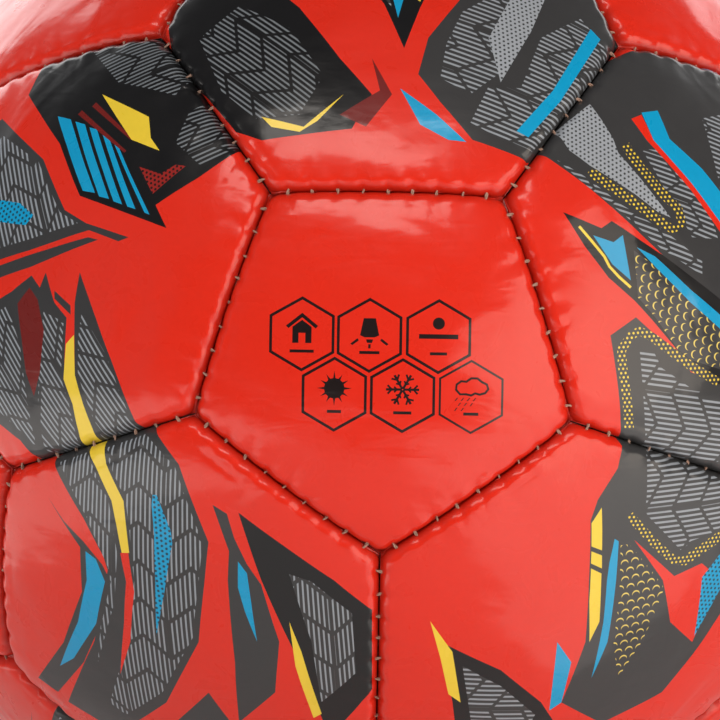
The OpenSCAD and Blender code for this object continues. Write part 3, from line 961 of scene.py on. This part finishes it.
RED = (0.74, 0.0215, 0.0065, 1)
BLACK = (0.0072, 0.0070, 0.0080, 1)
CHARCOAL = (0.040, 0.040, 0.042, 1)
GREY = (0.29, 0.32, 0.36, 1)
CYAN = (0.001, 0.33, 0.62, 1)
YELLOW = (0.86, 0.62, 0.045, 1)
PALE = (0.34, 0.37, 0.41, 1)

MATERIALS.update({
    "red": skin_material("cover_red", RED, tone=0.035),
    "print": skin_material("cover_print_black", (0.010, 0.005, 0.005, 1), rough=0.24),
    "black": skin_material("cover_black", BLACK, rough=0.24),
    "charcoal": skin_material("cover_charcoal", CHARCOAL, rough=0.26),
    "cyan": skin_material("cover_cyan", CYAN),
    "yellow": skin_material("cover_yellow", YELLOW),
    "darkred": skin_material("cover_dark_red", (0.17, 0.012, 0.010, 1)),
    "pale": skin_material("cover_pale_grid", PALE, dots((0.045, 0.047, 0.052, 1), 1.0, 0.24, 35)),
    "ydots": skin_material("cover_yellow_dots", CHARCOAL, dots(YELLOW, 0.98, 0.235, 20), rough=0.26),
    "cyandots": skin_material("cover_cyan_dots", CYAN, dots((0.01, 0.05, 0.08, 1), 1.05, 0.27, 10)),
    "reddots": skin_material("cover_red_dots", (0.30, 0.016, 0.012, 1), dots(BLACK, 0.95, 0.26, 30)),
    "crescents": skin_material("cover_crescents", CHARCOAL, crescents((0.80, 0.62, 0.13, 1)), rough=0.26),
    "hatch_a": skin_material("cover_hatch_a", CHARCOAL, hatch(in_panel(112, "left"), GREY), rough=0.26),
    "hatch_b": skin_material("cover_hatch_b", BLACK, hatch(in_panel(28, "left"), (0.17, 0.19, 0.21, 1), 0.95), rough=0.26),
    "hatch_c": skin_material("cover_hatch_c", CHARCOAL, hatch(in_panel(122, "left"), GREY, 0.98, 0.40), rough=0.26),
    "hatch_d": skin_material("cover_hatch_d", CHARCOAL, hatch(in_panel(88, "lower_left"), GREY, 0.98, 0.40, run=8.0, slope=0.4), rough=0.26),
    "hatch_e": skin_material("cover_hatch_e", CHARCOAL, hatch(in_panel(-18, "top"), GREY), rough=0.26),
    "hatch_f": skin_material("cover_hatch_f", CHARCOAL, hatch(in_panel(-16, "right"), GREY, 1.0, run=6.0, slope=0.5, zig=7.0), rough=0.26),
    "hatch_h": skin_material("cover_hatch_h", CHARCOAL, hatch(in_panel(-3, "lower_right"), GREY, 1.08, run=6.5, slope=0.3, zig=14.0), rough=0.26),
    "hatch_g": skin_material("cover_hatch_g", CHARCOAL, hatch(in_panel(-3, "right"), GREY, 1.08, run=6.5, slope=0.3, zig=14.0), rough=0.26),
})


def cloth_material(name, colour, warp_mm=0.55):
    """Plain-woven backing cloth, its threads over and under each other."""
    m = Mat(name)
    x, y, z = m.xyz()
    k = tau / (warp_mm * MM)
    weave = ((x + z * 0.37) * k).sin() * ((y - z * 0.29) * k).sin()
    slub = m.noise(420, 3.0, 0.6, 0.3)
    base = m.mix(weave * 0.35 + 0.5, shade(colour, 0.72), colour)
    base = m.mix(slub * 0.35, base, shade(colour, 0.6))
    m.set(Base_Color=base, Roughness=slub * 0.15 + 0.78, Sheen_Weight=0.25, Sheen_Roughness=0.5)
    m.bump(weave * 0.06 + slub * 0.05, coat=False)
    return m.mat


def thread_material():
    m = Mat("thread_waxed_polyester")
    x, y, z = m.xyz()
    fibre = m.noise(5200, 2.0, 0.5, 0.2, (1, 1, 4))
    tone = m.noise(90, 2.0)
    # the thread's own pale beige, tinted pinkish brown: painted reflected light from the red panels round it
    base = m.mix(fibre * 0.55 + tone * 0.25, (0.52, 0.33, 0.25, 1), (0.28, 0.16, 0.11, 1))
    m.set(Base_Color=base, Roughness=fibre * 0.2 + 0.45, Sheen_Weight=0.15)
    m.bump(fibre * 0.05, coat=False)
    return m.mat


def foam_material():
    m = Mat("foam_closed_cell")
    cells = m.cells(2200)
    tone = m.noise(60, 3.0, 0.6)
    base = m.mix(cells * 0.6 + tone * 0.25, (0.74, 0.70, 0.58, 1), (0.52, 0.47, 0.36, 1))
    m.set(Base_Color=base, Roughness=tone * 0.15 + 0.82, Subsurface_Weight=0.08)
    m.bump(cells * 0.16, coat=False)
    return m.mat


def rubber_material(name, colour, dust=0.25, rough=0.5):
    """Moulded rubber with a bloom of talc and fine flow marks."""
    m = Mat(name)
    tone = m.noise(75, 4.0, 0.6, 0.5)
    speck = m.noise(1500, 2.0, 0.5)
    flow = m.noise(160, 2.0, 0.5, 0.3, (1, 1, 7))
    base = m.mix(tone * 0.6, colour, shade(colour, 1.7))
    base = m.mix(tone.ramp(0.45, 0.75) * speck.ramp(0.4, 0.7) * dust, base, (0.42, 0.40, 0.38, 1))
    m.set(Base_Color=base, Roughness=tone * 0.25 + (rough - 0.1), Specular_IOR_Level=0.4)
    m.bump(speck * 0.012 + flow * 0.02, coat=False)
    return m.mat


MATERIALS["cloth"] = cloth_material("cover_cloth_back", (0.58, 0.56, 0.52, 1))

# ---------------------------------------------------------------- the cover


def prints_for(key, world):
    return [(ink, flatten(poly, world)) for ink, poly in ART[key]]


names = {}
for i in range(12):
    names[("P", i)] = "pentagon_panel_%02d" % (i + 1)
for i in range(20):
    names[("T", i)] = "valve_panel" if i == 0 else "hexagon_panel_%02d" % i

LAYOUTS = {
    "front": Layout(PENT, prints_for("front", pent_frame(FRONT))),
    "plain": Layout(PENT, []),
}
for key, i in FRONT_HEX.items():
    LAYOUTS[key] = Layout(HEXA, prints_for(key, hex_frame(i, FRONT)))

# each other hexagon takes one of the front prints, with its plain corner against one pentagon
BACK = min(range(12), key=lambda i: P[i] @ P[FRONT])
hexagons = {}
for key, i in FRONT_HEX.items():
    hexagons[i] = (key, FRONT)
order = ["top", "left", "lower_left", "lower_right", "right"]
back = sorted((i for i, t in enumerate(T) if BACK in t), key=lambda i: math.atan2(HEX_AXES[i] @ RIGHT, HEX_AXES[i] @ UP))
for n, i in enumerate(back):
    hexagons[i] = (order[n % 5], BACK)
belt = [i for i in range(20) if i not in hexagons]
free = [i for i in range(12) if i not in (FRONT, BACK)]


def match(rest, free):
    if not rest:
        return {}
    for home in T[rest[0]]:
        if home in free:
            found = match(rest[1:], [f for f in free if f != home])
            if found is not None:
                return {rest[0]: home, **found}
    return None


for n, (i, home) in enumerate(sorted(match(belt, free).items())):
    hexagons[i] = (order[(3 * n + 1) % 5], home)
valve_key, valve_home = hexagons[0]
LAYOUTS["valve"] = Layout(HEXA, [(ink, flatten(poly, hex_frame(FRONT_HEX[valve_key], FRONT))) for ink, poly in ART[valve_key]], VALVE_R)

for i in range(12):
    key = "front" if i == FRONT else "plain"
    ob = panel("cover_pentagon_%02d" % (i + 1), PENT, LAYOUTS[key], pent_frame(i), 100 + i)
    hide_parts(names[("P", i)])
for i in range(20):
    key, home = hexagons[i]
    ob = panel("cover_valve" if i == 0 else "cover_hexagon_%02d" % i, HEXA, LAYOUTS["valve" if i == 0 else key], hex_frame(i, home), 200 + i)
    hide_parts(names[("T", i)])

# ---------------------------------------------------------------- the seams' thread


def tube(centres, radius, sides, verts, faces, taper=True):
    """A round rod along a row of points, closed at both ends."""
    c = np.asarray(centres, float)
    step = unit(np.gradient(c, axis=0))
    ref = np.array([0.31, 0.87, 0.38])
    u = unit(np.cross(step, ref))
    v = np.cross(step, u)
    a = np.arange(sides) * tau / sides
    base = len(verts)
    for i in range(len(c)):
        r = radius * (0.7 if taper and i in (0, len(c) - 1) else 1.0)
        verts.extend((c[i] + r * (np.cos(a)[:, None] * u[i] + np.sin(a)[:, None] * v[i])).tolist())
    for i in range(len(c) - 1):
        for k in range(sides):
            m = (k + 1) % sides
            faces.append((base + i * sides + k, base + i * sides + m, base + (i + 1) * sides + m, base + (i + 1) * sides + k))
    faces.append(tuple(base + k for k in reversed(range(sides))))
    faces.append(tuple(base + (len(c) - 1) * sides + k for k in range(sides)))


def new_object(name, verts, faces, materials, node=None, smooth=True):
    mesh = bpy.data.meshes.new(name)
    mesh.from_pydata([tuple(c * MM for c in v) for v in verts], [], [tuple(f) for f in faces])
    for m in materials:
        mesh.materials.append(m)
    mesh.polygons.foreach_set("use_smooth", [smooth] * len(mesh.polygons))
    mesh.update()
    ob = bpy.data.objects.new(name, mesh)
    bpy.context.scene.collection.objects.link(ob)
    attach(ob, "ball")
    if node:
        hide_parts(node)
    return ob


def stitch(mid, along, normal, t, rng, verts, faces):
    """One stitch: two plies laid over the seam from one panel's edge to the other's."""
    crest = 107.26 + rng.uniform(0.0, 0.46)
    slant = rng.uniform(-0.25, 0.25)
    t = t + rng.uniform(-0.18, 0.18)
    twist = rng.uniform(0, tau)
    count = 11
    x = np.linspace(-1.95, 1.95, count)
    height = 107.2 + (crest - 107.2) * np.clip(1 - (x / 1.25) ** 2, 0, None) ** 0.75
    along_t = t + slant * x
    centre = height[:, None] * (np.cos(along_t / R)[:, None] * mid + np.sin(along_t / R)[:, None] * along) + x[:, None] * normal
    out = unit(mid * math.cos(t / R) + along * math.sin(t / R))
    side = np.cross(normal, out)
    for ply in (0, 1):
        a = twist + x * 1.9 + ply * math.pi
        path = centre + 0.15 * (np.cos(a)[:, None] * out + np.sin(a)[:, None] * side)
        tube(path, 0.18, 6, verts, faces)


def seam_threads(name, node, pairs, seed):
    verts, faces = [], []
    rng = seeded(31, seed)
    for a, b in pairs:
        normal = unit(b - a)
        mid = unit(a + b)
        # the seam plane passes through the ball's middle, between the two panels
        along = np.cross(normal, mid)
        loose = rng.uniform(-0.12, 0.12)
        for m in range(STITCHES):
            stitch(mid, along, normal, (m - (STITCHES - 1) / 2) * PITCH, rng, verts, faces)
        # the runs between stitches, along each panel's inner edge
        for side in (-1, 1):
            t = np.linspace(-(STITCHES - 1) / 2 * PITCH, (STITCHES - 1) / 2 * PITCH, 33)
            wave = 0.10 * np.cos(t / PITCH * tau)
            r = 107.45 + wave + loose * 0.3
            path = r[:, None] * (np.cos(t / R)[:, None] * mid + np.sin(t / R)[:, None] * along) + side * 2.05 * normal
            tube(path, 0.36, 6, verts, faces)
    return new_object(name, verts, faces, [THREAD], node)


THREAD = thread_material()
pent_seams, hex_seams = [], []
for i in range(20):
    for j in T[i]:
        # the plane between pentagon j and hexagon i holds the two corners they share
        k1, k2 = [k for k in T[i] if k != j]
        ca, cb = unit(2 * P[j] + P[k1]), unit(2 * P[j] + P[k2])
        n = unit(np.cross(ca, cb))
        if n @ HEX_AXES[i] < 0:
            n = -n
        mid = unit(ca + cb)
        pent_seams.append((mid - n, mid + n))
for i in range(20):
    for j in range(i + 1, 20):
        shared = set(T[i]) & set(T[j])
        if len(shared) == 2:
            a, b = sorted(shared)
            ca, cb = unit(2 * P[a] + P[b]), unit(2 * P[b] + P[a])
            n = unit(np.cross(ca, cb))
            if n @ HEX_AXES[i] < 0:
                n = -n
            mid = unit(ca + cb)
            hex_seams.append((mid - n, mid + n))
seam_threads("thread_pentagon_seams", "seam_thread_pentagon", pent_seams, 1)
seam_threads("thread_hexagon_seams", "seam_thread_hexagon", hex_seams, 2)

# ---------------------------------------------------------------- foam and lining under each panel


def layer(panels, verts, faces, profile, hole_r, tilt=0.0, seed=0):
    """A sheet under each panel: rings at (setback, radius) steps, closed over the top and under the bottom."""
    rng = seeded(57, seed)
    for shape, world, holed in panels:
        base = len(verts)
        rings, per = [], 10
        top, bottom = profile[0], profile[-1]
        steps = []
        inner = (0.2, 0.45, 0.7, 0.88)
        ring, _ = ring_points(shape, top[0], 1.0, per)
        edge = flat(ring)
        angle = np.arctan2(edge[:, 1], edge[:, 0])
        rim = (hole_r * np.stack([np.cos(angle), np.sin(angle)], 1)) if holed else np.zeros_like(edge)
        dents = rng.uniform(-0.05, 0.05, 8)
        for f in ((0.0,) if holed else ()) + inner:
            d = lift(rim + (edge - rim) * f)
            steps.append(d * (top[1] + dents[int(f * 7)] * 0.5))
        for off, r in profile:
            steps.append(ring_points(shape, off, r, per)[0])
        ring2, _ = ring_points(shape, bottom[0], 1.0, per)
        low = flat(ring2)
        for f in inner[::-1] + ((0.0,) if holed else ()):
            d = lift(rim + (low - rim) * f)
            steps.append(d * bottom[1])
        m = len(edge)
        for s in steps:
            verts.extend((s @ world.T).tolist())
        for i in range(len(steps) - 1):
            for k in range(m):
                j = (k + 1) % m
                faces.append((base + i * m + k, base + (i + 1) * m + k, base + (i + 1) * m + j, base + i * m + j))
        last = base + (len(steps) - 1) * m
        if holed:
            for k in range(m):
                j = (k + 1) % m
                faces.append((last + k, base + k, base + j, last + j))
        else:
            for first, r, flip in ((base, top[1], False), (last, bottom[1], True)):
                centre = len(verts)
                verts.append((np.array([0, 0, r]) @ world.T).tolist())
                for k in range(m):
                    j = (k + 1) % m
                    faces.append((first + k, first + j, centre) if not flip else (first + j, first + k, centre))


pentagon_places = [(PENT, pent_frame(i), False) for i in range(12)]
hexagon_places = [(HEXA, hex_frame(i, hexagons[i][1]), i == 0) for i in range(20)]
FOAM = foam_material()
LINING = cloth_material("lining_polycotton", (0.66, 0.64, 0.58, 1), 0.7)
for word, places in (("pentagon", pentagon_places), ("hexagon", hexagon_places)):
    verts, faces = [], []
    layer(places, verts, faces, [(3.5, 108.05), (3.05, 107.9), (2.95, 107.5), (2.95, 106.4), (3.05, 106.05), (3.5, 105.9)], VALVE_R + 0.02, seed=1)
    ob = new_object("foam_" + word, verts, faces, [FOAM], "foam_pads_" + word)
    verts, faces = [], []
    layer(places, verts, faces, [(3.2, 105.66), (2.98, 105.58), (2.92, 105.4), (2.92, 105.0), (2.98, 104.82), (3.2, 104.74)], VALVE_R + 0.02, seed=2)
    new_object("lining_" + word, verts, faces, [LINING], "cloth_linings_" + word)

# ---------------------------------------------------------------- the bladder

verts, faces = [], []
start = math.asin(4.27 / 104.3)
rows, cols = 96, 144
polar = start + (math.pi - start) * np.linspace(0, 1, rows) ** 1.0
ring_az = np.arange(cols) * tau / cols
shells = []
for outer in (True, False):
    ids = []
    for n, th in enumerate(polar[:-1]):
        if outer:
            parting = 0.13 * np.exp(-((th - math.pi / 2) * 104 / 0.5) ** 2)
            ribs = 0.05 * (0.5 + 0.5 * np.cos(ring_az * 12)) ** 12 * (math.sin(th) ** 0.5)
            collar = -0.25 * math.exp(-(th - start) * 104 / 1.0)
            r = 104.20 + parting + ribs + collar
        else:
            r = np.full(cols, 103.48 + 0.25 * math.exp(-(th - start) * 104 / 1.0))
        ids.append(len(verts))
        verts.extend(np.stack([r * math.sin(th) * np.cos(ring_az), r * math.sin(th) * np.sin(ring_az), r * math.cos(th)], 1).tolist())
    pole = len(verts)
    verts.append((0, 0, -104.2 if outer else -103.48))
    shells.append((ids, pole))
    for a, b in zip(ids[:-1], ids[1:]):
        for k in range(cols):
            j = (k + 1) % cols
            quad = (a + k, b + k, b + j, a + j)
            faces.append(quad if outer else quad[::-1])
    for k in range(cols):
        j = (k + 1) % cols
        tri = (ids[-1] + k, pole, ids[-1] + j)
        faces.append(tri if outer else tri[::-1])
a, b = shells[0][0][0], shells[1][0][0]
for k in range(cols):
    j = (k + 1) % cols
    faces.append((a + k, a + j, b + j, b + k))
new_object("bladder_butyl", verts, faces, [rubber_material("bladder_rubber", (0.022, 0.021, 0.021, 1), 0.45, 0.55)], "bladder")

# ---------------------------------------------------------------- the valve's CAD parts


def finish_node(name, material, bevel=0.0):
    ob = bpy.data.objects[name]
    ob.data.materials.clear()
    ob.data.materials.append(material)
    for slot in ob.material_slots:
        slot.material = material
    if bevel:
        mod = ob.modifiers.new("edges", "BEVEL")
        mod.width, mod.segments, mod.limit_method, mod.angle_limit = bevel * MM, 3, "ANGLE", math.radians(40)
        mod.harden_normals = False


VALVE_RUBBER = rubber_material("valve_rubber", (0.016, 0.016, 0.017, 1), 0.10, 0.42)
finish_node("valve_housing", VALVE_RUBBER)
finish_node("valve_patch", rubber_material("patch_rubber", (0.030, 0.028, 0.026, 1), 0.35, 0.55))
CORE_RUBBER = rubber_material("valve_core_rubber", (0.028, 0.027, 0.026, 1), 0.12, 0.38)
for n in ("valve_core", "valve_lip_left", "valve_lip_right"):
    finish_node(n, CORE_RUBBER)

# ---------------------------------------------------------------- floor, light and camera


def floor():
    m = Mat("studio_floor")
    tone = m.noise(3.0, 3.0, 0.5)
    base = m.mix(tone * 0.3 + 0.35, (0.80, 0.80, 0.80, 1), (0.86, 0.86, 0.855, 1))
    m.set(Base_Color=base, Roughness=tone * 0.1 + 0.6)
    n = 96
    verts = [(0, 0, -110.0)] + [(1700 * math.cos(tau * k / n), 1700 * math.sin(tau * k / n), -110.0) for k in range(n)]
    faces = [(0, k + 1, (k + 1) % n + 1) for k in range(n)]
    mesh = bpy.data.meshes.new("floor")
    mesh.from_pydata([tuple(c * MM for c in v) for v in verts], [], faces)
    mesh.materials.append(m.mat)
    ob = bpy.data.objects.new("floor", mesh)
    bpy.context.scene.collection.objects.link(ob)


floor()


def softbox(name, right, up, distance, size, power, colour=(1, 1, 1), shape=None):
    """A softbox turned right and up from the camera's line of sight, in degrees, facing the ball."""
    a, e = math.radians(right), math.radians(up)
    d = -AHEAD * (math.cos(a) * math.cos(e)) + RIGHT * (math.sin(a) * math.cos(e)) + UP * math.sin(e)
    light = bpy.data.lights.new(name, "AREA")
    light.shape = "RECTANGLE"
    light.size, light.size_y = size
    light.energy, light.color = power, colour
    ob = bpy.data.objects.new(name, light)
    ob.location = Vector(d * distance)
    ob.rotation_mode = "QUATERNION"
    ob.rotation_quaternion = Vector(d).to_track_quat("Z", "Y")
    bpy.context.scene.collection.objects.link(ob)
    return ob


key = softbox("key", 42, 0, 1.3, (1.0, 0.85), 7.7, (1.0, 0.88, 0.76))
key.rotation_quaternion = key.rotation_quaternion @ Quaternion((0, 0, 1), math.radians(36))
softbox("top", -9, 39.5, 1.9, (1.3, 0.42), 8.4, (1.0, 0.93, 0.86))
# scrims round the camera: they light the ball evenly and aren't mirrored in its gloss
softbox("side", 62, 14, 2.2, (1.2, 1.2), 3.0, (1.0, 0.96, 0.92)).visible_glossy = False
softbox("front", -8, 22, 2.2, (1.8, 1.8), 1.0, (1.0, 0.97, 0.94)).visible_glossy = False
softbox("left", -65, 12, 2.4, (1.5, 1.5), 9.2, (0.98, 0.99, 1.0)).visible_glossy = False
# bounce cards on the table, to the right and the left of the ball
for name, where, size, power in (("bounce_right", (0.52, -0.52), (0.9, 0.8), 2.2), ("bounce_left", (-0.62, -0.40), (0.8, 0.9), 3.0)):
    card = softbox(name, 0, 0, 1.0, size, power, (1.0, 0.93, 0.87))
    card.location = Vector((*where, -0.108))
    card.rotation_quaternion = (0, 1, 0, 0)
    card.visible_camera = False
# a scrim over the table in front of the ball, so that the floor's light reaches its underside
table = softbox("table", 0, 40, 1.5, (1.3, 1.3), 5.5, (1.0, 0.96, 0.92))
table.location = Vector((0.12, -0.85, 1.25))
table.rotation_quaternion = (1, 0, 0, 0)
table.visible_glossy = False
softbox("back_left", -140, 35, 2.4, (1.4, 1.4), 19)
softbox("back_right", 135, 30, 2.4, (1.4, 1.4), 19)

world = bpy.data.worlds.new("studio")
world.use_nodes = True
backdrop = world.node_tree.nodes["Background"]
backdrop.inputs["Color"].default_value = (0.80, 0.80, 0.81, 1)
rays = world.node_tree.nodes.new("ShaderNodeLightPath")
level = world.node_tree.nodes.new("ShaderNodeMapRange")
level.inputs["To Min"].default_value, level.inputs["To Max"].default_value = 0.12, 0.92
world.node_tree.links.new(rays.outputs["Is Camera Ray"], level.inputs["Value"])
world.node_tree.links.new(level.outputs[0], backdrop.inputs["Strength"])
bpy.context.scene.world = world
bpy.context.scene.view_settings.view_transform = "Standard"

lens = bpy.data.cameras.new("camera")
lens.sensor_width = 36
lens.lens = FOCAL / 720 * 36
lens.clip_start, lens.clip_end = 0.05, 50
camera = bpy.data.objects.new("camera", lens)
basis = Matrix((RIGHT.tolist(), UP.tolist(), (-AIM).tolist())).transposed().to_4x4()
basis.translation = Vector(EYE * MM)
camera.matrix_world = basis
bpy.context.scene.collection.objects.link(camera)
bpy.context.scene.camera = camera
